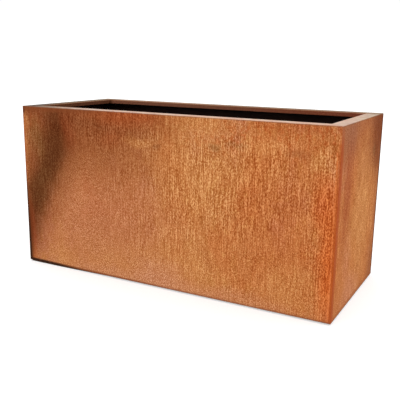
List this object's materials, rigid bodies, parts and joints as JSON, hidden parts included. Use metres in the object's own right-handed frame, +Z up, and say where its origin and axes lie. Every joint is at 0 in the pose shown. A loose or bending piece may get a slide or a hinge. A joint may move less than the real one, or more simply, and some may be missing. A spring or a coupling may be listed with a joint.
{
  "type": "planter box",
  "caption": "Long rectangular weathering-steel planter box with a wide flat folded rim, a drained base, an inner tie and low feet.",
  "frame": {"origin": "on the ground, under the middle of the planter", "axes": "+X along the planter's length, +Y from its front towards its back, +Z up"},
  "size_m": [1.2, 0.52, 0.6],
  "materials": {
    "rusted_steel": "matte orange-brown rust patina with fine run-off grain",
    "weld_metal": "ground and rusted weld, darker than the sheet",
    "base_steel": "dark matte rust",
    "coated_steel": "matte black waterproof coating",
    "zinc_steel": "dull zinc-plated",
    "foot_rubber": "matte black rubber"
  },
  "bodies": {
    "root": {"back_panel": "rusted_steel", "back_rib": "coated_steel", "base_bearer_centre": "base_steel", "base_bearer_left": "base_steel", "base_bearer_right": "base_steel", "base_tray": "base_steel", "base_welds": "weld_metal", "corner_weld_back_left": "weld_metal", "corner_weld_back_right": "weld_metal", "corner_weld_front_left": "weld_metal", "corner_weld_front_right": "weld_metal", "foot_back_centre": "foot_rubber", "foot_back_left": "foot_rubber", "foot_back_right": "foot_rubber", "foot_front_centre": "foot_rubber", "foot_front_left": "foot_rubber", "foot_front_right": "foot_rubber", "foot_nuts": "zinc_steel", "foot_screws": "zinc_steel", "front_panel": "rusted_steel", "front_rib": "coated_steel", "left_panel": "rusted_steel", "rib_welds": "weld_metal", "right_panel": "rusted_steel", "rim_weld_back_left": "weld_metal", "rim_weld_back_right": "weld_metal", "rim_weld_front_left": "weld_metal", "rim_weld_front_right": "weld_metal", "tie_bar": "coated_steel", "tie_bolts": "zinc_steel", "tie_nuts": "zinc_steel", "tie_washers": "zinc_steel"}
  },
  "joints": []
}
